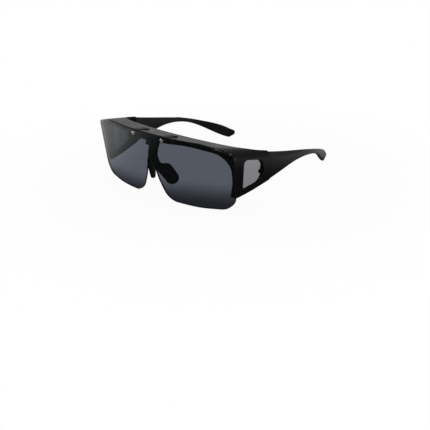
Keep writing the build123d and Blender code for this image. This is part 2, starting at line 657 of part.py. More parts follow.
def edge_height(shares, heights, share):
    """Height of a temple edge at a station, between the stations of its table."""
    for (a, height_a), (b, height_b) in zip(zip(shares, heights), zip(shares[1:], heights[1:])):
        if a <= share <= b:
            return TIP_DROP * (height_a + (height_b - height_a) * (share - a) / (b - a))
    return TIP_DROP * heights[-1]


def grip_block(extra):
    """The grip inlay of the left temple's inner face, grown by a relief."""
    stations = (GRIP_START_SHARE, GRIP_MIDDLE_SHARE, GRIP_END_SHARE)
    margin = GRIP_MARGIN - extra
    top, foot = [], []
    for share in stations:
        top.append((station(share), edge_height(RIDGE_STATION_SHARES, RIDGE_HEIGHT_SHARES, share) - margin))
        foot.append((station(share), edge_height(KEEL_STATION_SHARES, KEEL_HEIGHT_SHARES, share) + margin))
    edges = [Spline(*top), Line(top[-1], foot[-1]), Spline(*reversed(foot)), Line(foot[0], top[0])]
    outline = Curve() + edges
    inner = TEMPLE_THICKNESS + extra
    return across(make_face(outline)) & temple_plan(TEMPLE_THICKNESS - GRIP_DEPTH - extra, inner)


def softened(arm):
    """The temple with the edges along its outline rounded, from the seam round the tip."""
    edges = []
    for edge in arm.edges():
        box = edge.bounding_box()
        if box.max.Y > station(BEVEL_END_SHARE) and box.size.Y > SEAM_GAP:
            edges.append(edge)
    return fillet(edges, TEMPLE_EDGE_ROUND)


def dimple():
    """The oval dimple in the outer face near the tip."""
    place = Pos(station(DIMPLE_SHARE), TIP_DROP * DIMPLE_HEIGHT_SHARE)
    oval = place * Ellipse(DIMPLE_WIDTH / 2, DIMPLE_LENGTH / 2)
    return across(oval) & temple_plan(-DIMPLE_DEPTH, DIMPLE_DEPTH)


def make_temple():
    arm = temple_plan(0, TEMPLE_THICKNESS) & across(temple_profile()) & behind_seam(SEAM_GAP / 2)
    arm = softened(arm) - dimple()
    start_y, end_y = SIDE_LENGTH - LUG_WEB, station(BEVEL_END_SHARE)
    end_x = side_x(SIDE_LENGTH, 0) - TEMPLE_BOW / 12
    end_z = TIP_DROP * RIDGE_HEIGHT_SHARES[2]
    flat_x, edge_drop = roof_rule(start_y)
    sections = [
        roof_section(start_y, flat_x, side_x(start_y, 0), SHELF_HEIGHT, edge_drop),
        roof_section(end_y, end_x - BEVEL_END_WIDTH, end_x, end_z, BEVEL_END_DROP),
    ]
    arm -= loft(sections, ruled=True)
    lug_top = HINGE_TOP_DROP + FRAME_LUG_HEIGHT + KNUCKLE_GAP
    arm += hinge_lug(lug_top, TEMPLE_LUG_HEIGHT, 1)
    for top, foot in ((0, HINGE_TOP_DROP + FRAME_LUG_HEIGHT), (LOWER_LUG_DROP, 2 * HINGE_FOOT_DROP)):
        arm -= hinge_bar(top, foot + KNUCKLE_GAP / 2, KNUCKLE_RADIUS + SEAM_GAP)
    arm -= hinge_bar(0, 2 * HINGE_FOOT_DROP, HINGE_SCREW_RADIUS + RUNNING_CLEARANCE)
    return arm - grip_block(GRIP_RELIEF)


def make_temple_grip():
    return grip_block(0)


def laid_down(shape, tilt):
    """A worn piece, tipped back so that the temple tips come down to the lens edge."""
    return Rot(-tilt, 0, 0) * shape


def main():
    left = {
        "side_lens": make_side_lens(),
        "flip_hinge_pin": make_pivot_pin(),
        "flip_friction_washer": make_friction_washer(),
        "temple_hinge_screw": make_hinge_screw(),
        "flip_arm": make_flip_arm(),
        "lens_screw": make_lens_screw(),
        "lens_washer": make_lens_washer(),
        "temple": make_temple(),
        "temple_grip": make_temple_grip(),
    }
    pieces = {
        "front_frame": make_front_frame(),
        "nose_bridge": make_nose_bridge(),
        "shield_lens": make_shield_lens(),
    }
    for name, shape in left.items():
        pieces[name + "_left"] = shape
        pieces[name + "_right"] = mirrored(shape)

    tilt = REST_TILT_START
    for _ in range(REST_PASSES):
        lens_foot = laid_down(pieces["shield_lens"], tilt).bounding_box().min.Z
        tip_foot = laid_down(pieces["temple_left"], tilt).bounding_box().min.Z
        tilt += math.degrees(math.atan((tip_foot - lens_foot) / station(1.0)))
    lying = {name: laid_down(shape, tilt) for name, shape in pieces.items()}
    box = Compound(children=[Compound(shape.solids()) for shape in lying.values()]).bounding_box()
    place = Pos(-box.center().X, -box.center().Y, -box.min.Z)

    os.makedirs("parts", exist_ok=True)
    for name, shape in lying.items():
        solids = (place * shape).solids()
        node = solids[0] if len(solids) == 1 else Compound(solids)
        export_step(node, f"parts/{name}.step")
        print(name, len(solids), round(sum(s.volume for s in solids), 1))
    print("rest tilt", round(tilt, 3), "size", box.size)
    for name, point in {
        "flip axis": Vector(0, PIVOT_Y, PIVOT_Z),
        "temple axis": Vector(HINGE_X, HINGE_Y, -HINGE_TOP_DROP),
        "lens top": LENS_TOP,
    }.items():
        spot = (place * laid_down(Pos(point), tilt)).position
        print(name, [round(value, 3) for value in spot])
    direction = laid_down(Pos(0, 0, 1), tilt).position
    print("temple axis direction", [round(value, 5) for value in direction])


main()
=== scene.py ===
# %% [markdown]
# # Flip-up fitover sunglasses
# Fitover sunglasses are worn over a person's own glasses. This pair has a black moulded front with side
# windows, one large smoke grey shield that flips up on two small arms, and two folding temples.
# The shapes with real sizes come from the CAD model, which is loaded below as a fixed frame. This lesson
# adds what a CAD model lacks: the finish of each plastic, the moulded flow of the nose piece, the small
# screws, the pimpled grips, the light and the camera.

# %% Load the CAD model as the fixed frame
import json
import math

import bmesh
import bpy
import numpy as np
from mathutils import Matrix, Vector

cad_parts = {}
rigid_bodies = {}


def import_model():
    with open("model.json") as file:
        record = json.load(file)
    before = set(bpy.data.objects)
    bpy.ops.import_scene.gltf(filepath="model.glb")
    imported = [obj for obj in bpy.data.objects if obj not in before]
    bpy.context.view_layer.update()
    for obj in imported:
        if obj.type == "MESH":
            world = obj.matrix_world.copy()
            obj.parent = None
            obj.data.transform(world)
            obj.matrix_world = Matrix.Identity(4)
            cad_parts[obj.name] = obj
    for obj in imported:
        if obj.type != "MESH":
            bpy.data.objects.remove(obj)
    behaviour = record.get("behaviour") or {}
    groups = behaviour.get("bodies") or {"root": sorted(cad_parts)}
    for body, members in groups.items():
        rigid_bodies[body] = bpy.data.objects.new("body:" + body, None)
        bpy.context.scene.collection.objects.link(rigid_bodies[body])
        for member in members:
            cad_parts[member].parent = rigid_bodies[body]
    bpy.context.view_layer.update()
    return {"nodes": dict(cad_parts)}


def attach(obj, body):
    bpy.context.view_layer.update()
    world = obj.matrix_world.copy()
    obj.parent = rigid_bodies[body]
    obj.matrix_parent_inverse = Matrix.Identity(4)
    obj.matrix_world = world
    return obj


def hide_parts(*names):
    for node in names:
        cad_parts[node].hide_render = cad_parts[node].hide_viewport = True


for spare in list(bpy.data.objects):
    bpy.data.objects.remove(spare)
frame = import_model()
nodes = frame["nodes"]
MM = 0.001

# %% [markdown]
# ## The camera
# The photograph looks at the pair from its front and a little from above, with the wearer's left side
# nearer. A camera could be placed by eye, but here its place was worked out beforehand from points that
# can be seen in the photograph, such as the two screws, the temple tips and the edges of the front.
# The numbers give the direction it looks from, its distance, and its focal length in pixels. They were
# worked out for a pair that leans by FITTED_LEAN degrees, and it rests at RESTING_LEAN, so the camera
# is turned by the small difference. The object isn't in the middle of the picture, which a small lens
# shift takes care of.

# %% Place the camera
PICTURE_SIDE = 430
FOCAL_PIXELS = 753.3455
PICTURE_CENTRE = (214.0, 162.0)
SENSOR_WIDTH = 36
NEAREST_SEEN = 10 * MM
CAMERA_AZIMUTH = math.radians(41.06686)
CAMERA_ELEVATION = math.radians(19.5064)
CAMERA_ROLL = math.radians(-0.3361)
CAMERA_DISTANCE = 608.0727 * MM
CAMERA_SLIDE = (-2.37635 * MM, 8.20723 * MM)
AIM_POINT = Vector((0, 55 * MM, -25 * MM))
FRONT_CORNER_PLACE = Vector((0, -64.9106 * MM, 43.6055 * MM))
FITTED_LEAN = 12.0
RESTING_LEAN = 12.079


def camera_axes():
    """The camera's right, up and backward directions, before the pair is laid down."""
    flat = math.cos(CAMERA_ELEVATION)
    ahead = Vector((math.sin(CAMERA_AZIMUTH), -math.cos(CAMERA_AZIMUTH), 0)) * flat
    back = ahead + Vector((0, 0, math.sin(CAMERA_ELEVATION)))
    level = Vector((math.cos(CAMERA_AZIMUTH), math.sin(CAMERA_AZIMUTH), 0))
    above = back.cross(level)
    right = level * math.cos(CAMERA_ROLL) + above * math.sin(CAMERA_ROLL)
    up = above * math.cos(CAMERA_ROLL) - level * math.sin(CAMERA_ROLL)
    return right, up, back


def place_camera():
    """Makes the camera that takes the photograph's view."""
    right, up, back = camera_axes()
    place = AIM_POINT + back * CAMERA_DISTANCE - right * CAMERA_SLIDE[0] - up * CAMERA_SLIDE[1]
    lay_down = Matrix.Rotation(math.radians(FITTED_LEAN - RESTING_LEAN), 4, "X")
    turn = lay_down.to_3x3() @ Matrix((right, up, back)).transposed()
    data = bpy.data.cameras.new("camera")
    data.sensor_width = SENSOR_WIDTH
    data.lens = data.sensor_width * FOCAL_PIXELS / PICTURE_SIDE
    data.shift_x = (PICTURE_SIDE / 2 - PICTURE_CENTRE[0]) / PICTURE_SIDE
    data.shift_y = (PICTURE_CENTRE[1] - PICTURE_SIDE / 2) / PICTURE_SIDE
    data.clip_start = NEAREST_SEEN
    made = bpy.data.objects.new("camera", data)
    made.matrix_world = Matrix.Translation(lay_down @ place + FRONT_CORNER_PLACE) @ turn.to_4x4()
    bpy.context.scene.collection.objects.link(made)
    bpy.context.scene.camera = made
    return made


camera = place_camera()
camera_place = [round(v, 4) for v in camera.matrix_world.translation]
print("camera at", camera_place, "lens", round(camera.data.lens, 2))

# %% [markdown]
# ## Sums on shader wires
# Materials are node trees. Wiring each Math node by hand is slow to read, so a small class stands for one
# wire between nodes. A sum or product of wires adds the Math nodes for it. Any other node is made by one
# method that takes the node's type, its settings, and the values or wires of its sockets.

# %% The wire, and the tree it belongs to
class Wire:
    """An output of a node. Sums with it add Math nodes to its tree."""

    def __init__(self, tree, socket):
        self.tree = tree
        self.socket = socket

    def sum(self, operation, first, second=0.0):
        return self.tree.node("ShaderNodeMath", {"operation": operation}, {0: first, 1: second})

    def __add__(self, other):
        return self.sum("ADD", self, other)

    def __sub__(self, other):
        return self.sum("SUBTRACT", self, other)

    def __rsub__(self, other):
        return self.sum("SUBTRACT", other, self)

    def __mul__(self, other):
        return self.sum("MULTIPLY", self, other)

    def __abs__(self):
        return self.sum("ABSOLUTE", self)

    def above(self, limit):
        """1 where the wire's value is greater than the limit, and 0 elsewhere."""
        return self.sum("GREATER_THAN", self, limit)

    __radd__ = __add__
    __rmul__ = __mul__


class Tree:
    """A shader tree that is built by expressions on wires."""

    def __init__(self, tree):
        self.tree = tree
        tree.nodes.clear()

    def node(self, kind, settings=None, values=None, output=0):
        made = self.tree.nodes.new(kind)
        for setting, value in (settings or {}).items():
            setattr(made, setting, value)
        for socket, value in (values or {}).items():
            if isinstance(value, Wire):
                self.tree.links.new(value.socket, made.inputs[socket])
            else:
                made.inputs[socket].default_value = value
        return Wire(self, made.outputs[output]) if made.outputs else made

    def noise(self, place, per_metre, detail=1.0):
        return self.node("ShaderNodeTexNoise", None, {"Vector": place, "Scale": per_metre, "Detail": detail})

    def ramp(self, value, start, end, low=0.0, high=1.0):
        """Goes smoothly from low to high as value goes from start to end."""
        values = {"Value": value, "From Min": start, "From Max": end, "To Min": low, "To Max": high}
        return self.node("ShaderNodeMapRange", {"interpolation_type": "SMOOTHSTEP"}, values)

    def blend(self, mask, low, high):
        """A colour between low and high."""
        return self.node("ShaderNodeMix", {"data_type": "RGBA"}, {0: mask, 6: low, 7: high}, 2)

    def along(self, place, axis):
        """One coordinate of a place: 0, 1 or 2 for X, Y or Z."""
        return self.node("ShaderNodeSeparateXYZ", None, {0: place}, axis)

    def agreement(self, first, second):
        """How far one direction goes along another: 1 when they are the same, 0 when they are square."""
        return self.node("ShaderNodeVectorMath", {"operation": "DOT_PRODUCT"}, {0: first, 1: second}, 1)

    def ray(self, kind):
        """1 for light paths that are a Camera, Glossy or Transmission ray, and 0 for others."""
        return self.node("ShaderNodeLightPath", output=f"Is {kind} Ray")


def new_finish(name):
    """A new material and the tree to build it in."""
    material = bpy.data.materials.new(name)
    material.use_nodes = True
    return material, Tree(material.node_tree)


def grey(level):
    return (level, level, level, 1.0)


PLASTIC_IOR = 1.5
X_AXIS, Y_AXIS, Z_AXIS = 0, 1, 2
print("shader helpers ready")

# %% [markdown]
# ## Satin black moulded plastic
# The front and the temples are injection moulded and not painted. The mould gives them a very fine grain,
# so highlights are soft but still clear, and every edge has a tiny round that catches the light. A flat
# black would hide all this. The finish here has a fine grain in its bump and its gloss, a slow change of
# gloss where fingers and the mould's polish differ, and a Bevel node that rounds sharp edges for the
# light without changing the mesh. The same round, compared with the true surface, tells where an edge
# is, and edges are rubbed a little smoother and paler.

# %% A maker of moulded plastics
NOISE_MIDDLE = 0.5
CLOUDS_PER_METRE, CLOUD_RANGE, CLOUD_GLOSS = 55.0, (0.35, 0.65), 0.04
GRAINS_PER_METRE, GRAIN_STRENGTH, GRAIN_GLOSS = 5200.0, 0.25, 0.04
SPECKS_PER_METRE, SPECK_RANGE, SPECK_GLOSS = 1500.0, (0.70, 0.78), 0.03
SPECK_SHARE, SPECK_PALER = 0.3, 1.8
RUBBED_RANGE, RUBBED_GLOSS = (0.02, 0.22), 0.05
RUBBED_SHARE, RUBBED_PALER = 0.5, 1.5


def moulded_plastic(name, dark, pale, gloss, grain_depth, shine, edge_round):
    """A black plastic between two tones, with a grain, worn edges and rounded highlights."""
    material, shade = new_finish(name)
    place = shade.node("ShaderNodeTexCoord", output="Object")
    cloud = shade.ramp(shade.noise(place, CLOUDS_PER_METRE, 3.0), *CLOUD_RANGE)
    grain = shade.noise(place, GRAINS_PER_METRE, 2.0)
    speck = shade.ramp(shade.noise(place, SPECKS_PER_METRE), *SPECK_RANGE)
    rounded = shade.node("ShaderNodeBevel", {"samples": 8}, {"Radius": edge_round * MM})
    true_face = shade.node("ShaderNodeNewGeometry", output="Normal")
    rubbed = shade.ramp(1 - shade.agreement(rounded, true_face), *RUBBED_RANGE)
    colour = shade.blend(cloud, grey(dark), grey(pale))
    colour = shade.blend(rubbed * RUBBED_SHARE, colour, grey(pale * RUBBED_PALER))
    colour = shade.blend(speck * SPECK_SHARE, colour, grey(pale * SPECK_PALER))
    roughness = gloss + (cloud - NOISE_MIDDLE) * CLOUD_GLOSS + (grain - NOISE_MIDDLE) * GRAIN_GLOSS
    roughness = roughness - rubbed * RUBBED_GLOSS + speck * SPECK_GLOSS
    normal = shade.node("ShaderNodeBump", None, {
        "Strength": GRAIN_STRENGTH, "Distance": grain_depth * MM, "Height": grain, "Normal": rounded})
    surface = shade.node("ShaderNodeBsdfPrincipled", None, {
        "Base Color": colour, "Roughness": roughness, "Normal": normal,
        "Specular IOR Level": shine, "IOR": PLASTIC_IOR})
    shade.node("ShaderNodeOutputMaterial", None, {"Surface": surface})
    return material


# Each row: dark tone, pale tone, roughness, depth of the grain in mm, shine, round of the edges in mm.
PLASTICS = {
    "satin_black": (0.0035, 0.0050, 0.24, 0.0016, 0.40, 0.35),
    "temple_black": (0.0035, 0.0050, 0.24, 0.0014, 0.42, 0.08),
    "arm_black": (0.0045, 0.0065, 0.30, 0.0025, 0.36, 0.20),
    "washer_black": (0.016, 0.022, 0.45, 0.0030, 0.30, 0.05),
    "nose_black": (0.010, 0.014, 0.50, 0.0050, 0.24, 0.30),
    "grip_black": (0.008, 0.012, 0.52, 0.0060, 0.26, 0.05),
}
blacks = {name: moulded_plastic(name, *row) for name, row in PLASTICS.items()}
print("black plastics:", [material.name for material in blacks.values()])

# %% [markdown]
# ## Smoke lens
# The shield is clear plastic with a dark bluish grey dye and a polished face. Glass shaders bend light,
# which a sheet this thin hardly does, so a plain see-through shader with the dye's colour is mixed with a
# dark glossy one. Light passes both faces of the lens, so each face lets through the square root of what
# the whole lens does. The lens is made a little darker towards its lower edge, which is a painted shadow:
# the pair's own shadow on the floor, seen through the lens. That change is slightly aslant, so the lens is
# paler towards its far side, which is a painted sheen in place of a reflection of the pale floor there.
# The side windows are paler and almost even. Into a cut edge one looks the long way through the dye, so
# the edges look dark: where the surface turns away from the lens's two faces, nothing shows through.
# Faint haze changes the gloss, as fine wiping marks do.

# %% A maker of dyed lenses, with a painted shadow and a painted sheen
# The slant of the painted sheen and the waver of the painted shadow on the lens.
PAINTED_SHEEN_SLANT = 0.09
PAINTED_SHEEN_UNMOVED_AT = 30 * MM
PAINTED_SHADE_WAVER = 3 * MM
EDGE_OF_LENS, FACE_OF_LENS = 0.62, 0.72
LENS_CLOUDS_PER_METRE = 40.0
DARK_GLOSS = (0.0030, 0.0034, 0.0045, 1)
PALE_GLOSS = (0.0050, 0.0056, 0.0070, 1)
HAZE_PER_METRE, HAZE_RANGE = 380.0, (0.4, 0.8)
LENS_ROUGHNESS, HAZE_ROUGHNESS = 0.035, 0.03
LENS_SHINE = 0.8


def dyed_lens_with_painted_shade(name, dye, strong, weak, low, high, face_axis):
    """A see-through dyed plastic with dark cut edges, a painted shadow towards its lower edge and a
    painted sheen towards its far side.

    strong and weak are the shares of a face that are opaque at the heights low and high, in mm, which
    makes the painted shadow, and face_axis is the axis that the two faces look along.
    """
    material, shade = new_finish(name)
    place = shade.node("ShaderNodeTexCoord", output="Object")
    height = shade.along(place, Z_AXIS)
    cloud = shade.noise(place, LENS_CLOUDS_PER_METRE, 2.0)
    # painted sheen: a slant that makes the lens paler towards its far side, in place of a reflection of the
    # pale floor there
    painted_sheen_shift = (PAINTED_SHEEN_UNMOVED_AT - shade.along(place, X_AXIS)) * PAINTED_SHEEN_SLANT
    level = height + painted_sheen_shift + (cloud - NOISE_MIDDLE) * PAINTED_SHADE_WAVER
    # painted shadow: more opaque towards the lower edge, in place of the pair's shadow on the floor seen
    # through the lens
    opacity_with_painted_shade_and_sheen = shade.ramp(level, low * MM, high * MM, strong, weak)
    facing = shade.along(shade.node("ShaderNodeTexCoord", output="Normal"), face_axis)
    cut_edge = shade.ramp(abs(facing), EDGE_OF_LENS, FACE_OF_LENS, 1.0, 0.0)
    opacity_with_painted_shade_and_sheen = opacity_with_painted_shade_and_sheen + (1 - opacity_with_painted_shade_and_sheen) * cut_edge
    haze = shade.ramp(shade.noise(place, HAZE_PER_METRE, 4.0), *HAZE_RANGE)
    gloss = shade.node("ShaderNodeBsdfPrincipled", None, {
        "Base Color": shade.blend(cloud, DARK_GLOSS, PALE_GLOSS),
        "Roughness": LENS_ROUGHNESS + haze * HAZE_ROUGHNESS,
        "Specular IOR Level": LENS_SHINE, "IOR": PLASTIC_IOR})
    clear = shade.node("ShaderNodeBsdfTransparent", None, {"Color": dye})
    surface = shade.node("ShaderNodeMixShader", None, {0: opacity_with_painted_shade_and_sheen, 1: clear, 2: gloss})
    shade.node("ShaderNodeOutputMaterial", None, {"Surface": surface})
    return material


SMOKE_DYE = (0.85, 0.90, 1.0, 1)
WINDOW_DYE = (0.96, 0.97, 1.0, 1)
shield_smoke = dyed_lens_with_painted_shade(
    "shield_smoke", SMOKE_DYE, strong=0.87, weak=0.655, low=1, high=22, face_axis=Y_AXIS)
window_smoke = dyed_lens_with_painted_shade(
    "window_smoke", WINDOW_DYE, strong=0.53, weak=0.51, low=15, high=38, face_axis=X_AXIS)
print("lenses:", shield_smoke.name, window_smoke.name)

# %% [markdown]
# ## Bright steel
# The screws and pins are plated steel, turned on a small lathe. Their colour is almost even, so the life
# is in the gloss: a fine grain from the tool and a few duller spots. Metal shows its surroundings, which
# here are the pale floor and backdrop.

# %% The steel of screws and pins
BRIGHT_TONE = (0.80, 0.80, 0.79, 1)
DULL_TONE = (0.66, 0.66, 0.65, 1)
SPOTS_PER_METRE, SPOT_RANGE = 900.0, (0.35, 0.75)
STEEL_ROUGHNESS, SPOT_ROUGHNESS = 0.38, 0.12
STEEL_EDGE_ROUND = 0.06 * MM
TOOL_MARKS_PER_METRE, TOOL_MARK_STRENGTH, TOOL_MARK_DEPTH = 4200.0, 0.3, 0.006 * MM


def turned_steel(name):
    """Plated steel with fine tool marks and duller spots."""
    material, shade = new_finish(name)
    place = shade.node("ShaderNodeTexCoord", output="Object")
    spots = shade.ramp(shade.noise(place, SPOTS_PER_METRE, 3.0), *SPOT_RANGE)
    tool_marks = shade.noise(place, TOOL_MARKS_PER_METRE, 2.0)
    rounded = shade.node("ShaderNodeBevel", {"samples": 6}, {"Radius": STEEL_EDGE_ROUND})
    normal = shade.node("ShaderNodeBump", None, {
        "Strength": TOOL_MARK_STRENGTH, "Distance": TOOL_MARK_DEPTH, "Height": tool_marks,
        "Normal": rounded})
    surface = shade.node("ShaderNodeBsdfPrincipled", None, {
        "Base Color": shade.blend(spots, BRIGHT_TONE, DULL_TONE), "Metallic": 1.0,
        "Roughness": STEEL_ROUGHNESS + spots * SPOT_ROUGHNESS, "Normal": normal})
    shade.node("ShaderNodeOutputMaterial", None, {"Surface": surface})
    return material


bright_steel = turned_steel("bright_steel")
print("metal:", bright_steel.name)

# %% [markdown]
# ## Finish the CAD pieces
# Pieces whose CAD shape is already right keep it, and only get their finish. The table below names them.

# %% Put the finishes on the CAD pieces
CAD_FINISHES = {
    "front_frame": blacks["satin_black"],
    "temple_left": blacks["temple_black"],
    "temple_right": blacks["temple_black"],
    "flip_arm_left": blacks["arm_black"],
    "flip_arm_right": blacks["arm_black"],
    "shield_lens": shield_smoke,
    "side_lens_left": window_smoke,
    "side_lens_right": window_smoke,
    "lens_washer_left": blacks["washer_black"],
    "lens_washer_right": blacks["washer_black"],
    "flip_friction_washer_left": blacks["washer_black"],
    "flip_friction_washer_right": blacks["washer_black"],
    "flip_hinge_pin_left": bright_steel,
    "flip_hinge_pin_right": bright_steel,
}
for node_name, finish in CAD_FINISHES.items():
    nodes[node_name].material_slots[0].material = finish
print("finished", len(CAD_FINISHES), "CAD pieces")

# %% [markdown]
# ## A helper for new pieces
# New pieces start either from points and faces or from a merged copy of a CAD piece. The CAD meshes are
# loose triangles, so a copy is merged first, or its edges would open when it is smoothed.

# %% Start and end a new piece
MERGE_DISTANCE = 0.001 * MM


def new_piece(name, points, faces):
    """An object at the origin from points and faces."""
    mesh = bpy.data.meshes.new(name)
    mesh.from_pydata(points, [], faces)
    piece = bpy.data.objects.new(name, mesh)
    bpy.context.scene.collection.objects.link(piece)
    return piece


def merged_copy(node_name, name):
    """A copy of a CAD piece with its triangles joined."""
    skin = bmesh.new()
    skin.from_mesh(nodes[node_name].data)
    bmesh.ops.remove_doubles(skin, verts=skin.verts, dist=MERGE_DISTANCE)
    points = [vertex.co.copy() for vertex in skin.verts]
    faces = [[vertex.index for vertex in face.verts] for face in skin.faces]
    skin.free()
    return new_piece(name, points, faces)


def bake_modifiers(piece):
    """Turns what the modifiers make into the piece's own mesh, and takes them off."""
    made = piece.evaluated_get(bpy.context.evaluated_depsgraph_get())
    mesh = bpy.data.meshes.new_from_object(made)
    piece.modifiers.clear()
    piece.data = mesh
    mesh.name = piece.name


def smooth_but_sharp_from(piece, degrees):
    """Shades the piece smoothly, and keeps the edges that turn by more than this angle."""
    piece.data.polygons.foreach_set("use_smooth", [True] * len(piece.data.polygons))
    piece.data.set_sharp_from_angle(angle=math.radians(degrees))


print("piece helpers ready")

# %% [markdown]
# ## The nose piece
# On the real pair the nose piece is one soft moulding: a strut from the band, a web behind the lens and
# two pads, which flow into each other without a line. The CAD solid has the right places and sizes, but
# its parts meet in creases. Sculpting by hand would lose the sizes. Instead, a voxel remesh fuses the
# skin, and a few smoothing passes let the creases flow, which moves the surface by only a few tenths of
# a millimetre.

# %% Smooth the nose piece
NOSE_VOXEL = 0.24 * MM
NOSE_SMOOTHING = 0.5
NOSE_SMOOTHING_PASSES = 4
nose_piece = merged_copy("nose_bridge", "nose_piece")
fuse = nose_piece.modifiers.new("fuse", "REMESH")
fuse.mode = "VOXEL"
fuse.voxel_size = NOSE_VOXEL
fuse.use_smooth_shade = True
flow = nose_piece.modifiers.new("flow", "SMOOTH")
flow.factor = NOSE_SMOOTHING
flow.iterations = NOSE_SMOOTHING_PASSES
bake_modifiers(nose_piece)
nose_piece.data.materials.clear()
nose_piece.data.materials.append(blacks["nose_black"])
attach(nose_piece, "front")
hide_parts("nose_bridge")
print("nose piece:", len(nose_piece.data.polygons), "faces")

# %% [markdown]
# ## The screws
# Two screws hold the shield to its arms, and one is the pin of each temple hinge. They are the same kind
# of part in two sizes, so one Geometry Nodes tree makes them: a head with a turned edge and a six-lobed
# recess, on a round shank. The head becomes one closed skin before the recess is cut out of it. The tree
# sets a copy on each point that it is given, turned along the direction that the point carries. Where
# the screws sit is read from the CAD screws: the long way of their points is the axis.

# %% A helper for Geometry Nodes trees
class Growth(Tree):
    """A Geometry Nodes tree with named inputs for its sizes."""

    def __init__(self, name):
        self.group = bpy.data.node_groups.new(name, "GeometryNodeTree")
        super().__init__(self.group)
        self.group.is_modifier = True
        self.group.interface.new_socket("Geometry", in_out="INPUT", socket_type="NodeSocketGeometry")
        self.group.interface.new_socket("Geometry", in_out="OUTPUT", socket_type="NodeSocketGeometry")
        self.start = self.tree.nodes.new("NodeGroupInput")
        self.names = {}

    def size(self, name, kind="NodeSocketFloat"):
        """A named input of the tree."""
        socket = self.group.interface.new_socket(name, in_out="INPUT", socket_type=kind)
        self.names[name] = socket.identifier
        return Wire(self, self.start.outputs[name])

    def given(self):
        """The geometry that the tree starts from."""
        return Wire(self, self.start.outputs["Geometry"])

    def join(self, *pieces):
        joined = self.tree.nodes.new("GeometryNodeJoinGeometry")
        for piece in reversed(pieces):
            self.tree.links.new(piece.socket, joined.inputs[0])
        return Wire(self, joined.outputs[0])

    def end(self, geometry, finish):
        """Every tree ends in real geometry with its finish."""
        real = self.node("GeometryNodeRealizeInstances", None, {0: geometry})
        shown = self.node("GeometryNodeSetMaterial", None, {"Geometry": real, "Material": finish})
        self.node("NodeGroupOutput", None, {0: shown})

    def grow(self, piece, **sizes):
        """Runs the tree on a piece with these sizes, and keeps the result as its mesh."""
        modifier = piece.modifiers.new(self.group.name, "NODES")
        modifier.node_group = self.group
        for name, value in sizes.items():
            modifier[self.names[name]] = value
        bake_modifiers(piece)


print("geometry helpers ready")

# %% The tree of a turned screw
ROUND_SIDES = 48
RECESS_LOBES = 6
LOBE_VALLEY_SHARE = 0.7
AXIS_ATTRIBUTE = "screw_axis"


def screw_tree():
    """A head with a bevelled edge and a six-lobed recess, on a shank, set on each given point."""
    tree = Growth("turned_screw")
    head_radius, head_height = tree.size("Head Radius"), tree.size("Head Height")
    edge, recess, depth = tree.size("Head Edge"), tree.size("Recess Radius"), tree.size("Recess Depth")
    shank_radius, shank_length = tree.size("Shank Radius"), tree.size("Shank Length")
    finish = tree.size("Finish", "NodeSocketMaterial")

    def lift(piece, height):
        up = tree.node("ShaderNodeCombineXYZ", None, {"Z": height})
        return tree.node("GeometryNodeTransform", None, {"Geometry": piece, "Translation": up})

    def drum(radius, length):
        values = {"Vertices": ROUND_SIDES, "Radius": radius, "Depth": length}
        return tree.node("GeometryNodeMeshCylinder", None, values)

    def combined(operation, values):
        """The exact union or difference of closed skins."""
        return tree.node("GeometryNodeMeshBoolean", {"operation": operation, "solver": "EXACT"}, values)

    side = head_height - edge
    barrel = lift(drum(head_radius, side), side * 0.5)
    crown = lift(tree.node("GeometryNodeMeshCone", None, {
        "Vertices": ROUND_SIDES, "Radius Bottom": head_radius, "Radius Top": head_radius - edge,
        "Depth": edge}), side)
    shank = lift(drum(shank_radius, shank_length), shank_length * -0.5)
    star = tree.node("GeometryNodeCurveStar", None, {
        "Points": RECESS_LOBES, "Outer Radius": recess, "Inner Radius": recess * LOBE_VALLEY_SHARE})
    bottom = tree.node("ShaderNodeCombineXYZ", None, {"Z": head_height - depth})
    top = tree.node("ShaderNodeCombineXYZ", None, {"Z": head_height + depth})
    line = tree.node("GeometryNodeCurvePrimitiveLine", None, {"Start": bottom, "End": top})
    bit = tree.node("GeometryNodeCurveToMesh", None, {
        "Curve": line, "Profile Curve": star, "Fill Caps": True})
    blank = combined("UNION", {1: tree.join(barrel, crown)})
    head = combined("DIFFERENCE", {0: blank, 1: bit})
    axis = tree.node("GeometryNodeInputNamedAttribute", {"data_type": "FLOAT_VECTOR"}, {
        "Name": AXIS_ATTRIBUTE})
    turn = tree.node("FunctionNodeAlignRotationToVector", {"axis": "Z"}, {"Vector": axis})
    seats = tree.node("GeometryNodeMeshToPoints", None, {0: tree.given()})
    tree.end(tree.node("GeometryNodeInstanceOnPoints", None, {
        "Points": seats, "Instance": tree.join(head, shank), "Rotation": turn}), finish)
    return tree


turned_screw = screw_tree()
print("screw tree:", len(turned_screw.tree.nodes), "nodes")

# %% Where the CAD screws sit
END_SLICE = 0.2 * MM


def screw_seat(node_name, head_height):
    """The seat under the head, the way out of the head, and the length of the shank."""
    points = np.array([vertex.co for vertex in nodes[node_name].data.vertices])
    points = np.unique(points.round(7), axis=0)
    axis = np.linalg.svd(points - points.mean(0))[2][0]
    along = points @ axis
    last_slice = points[along > along.max() - END_SLICE]
    if np.ptp(last_slice, axis=0).max() < head_height * 2:
        # This end is too narrow to be the head, so the head is at the other one.
        axis = -axis
        along = -along
    across = points - np.outer(along, axis)
    middle = (across.max(0) + across.min(0)) / 2
    middle = middle - axis * (middle @ axis)
    return middle + axis * (along.max() - head_height), axis, np.ptp(along) - head_height


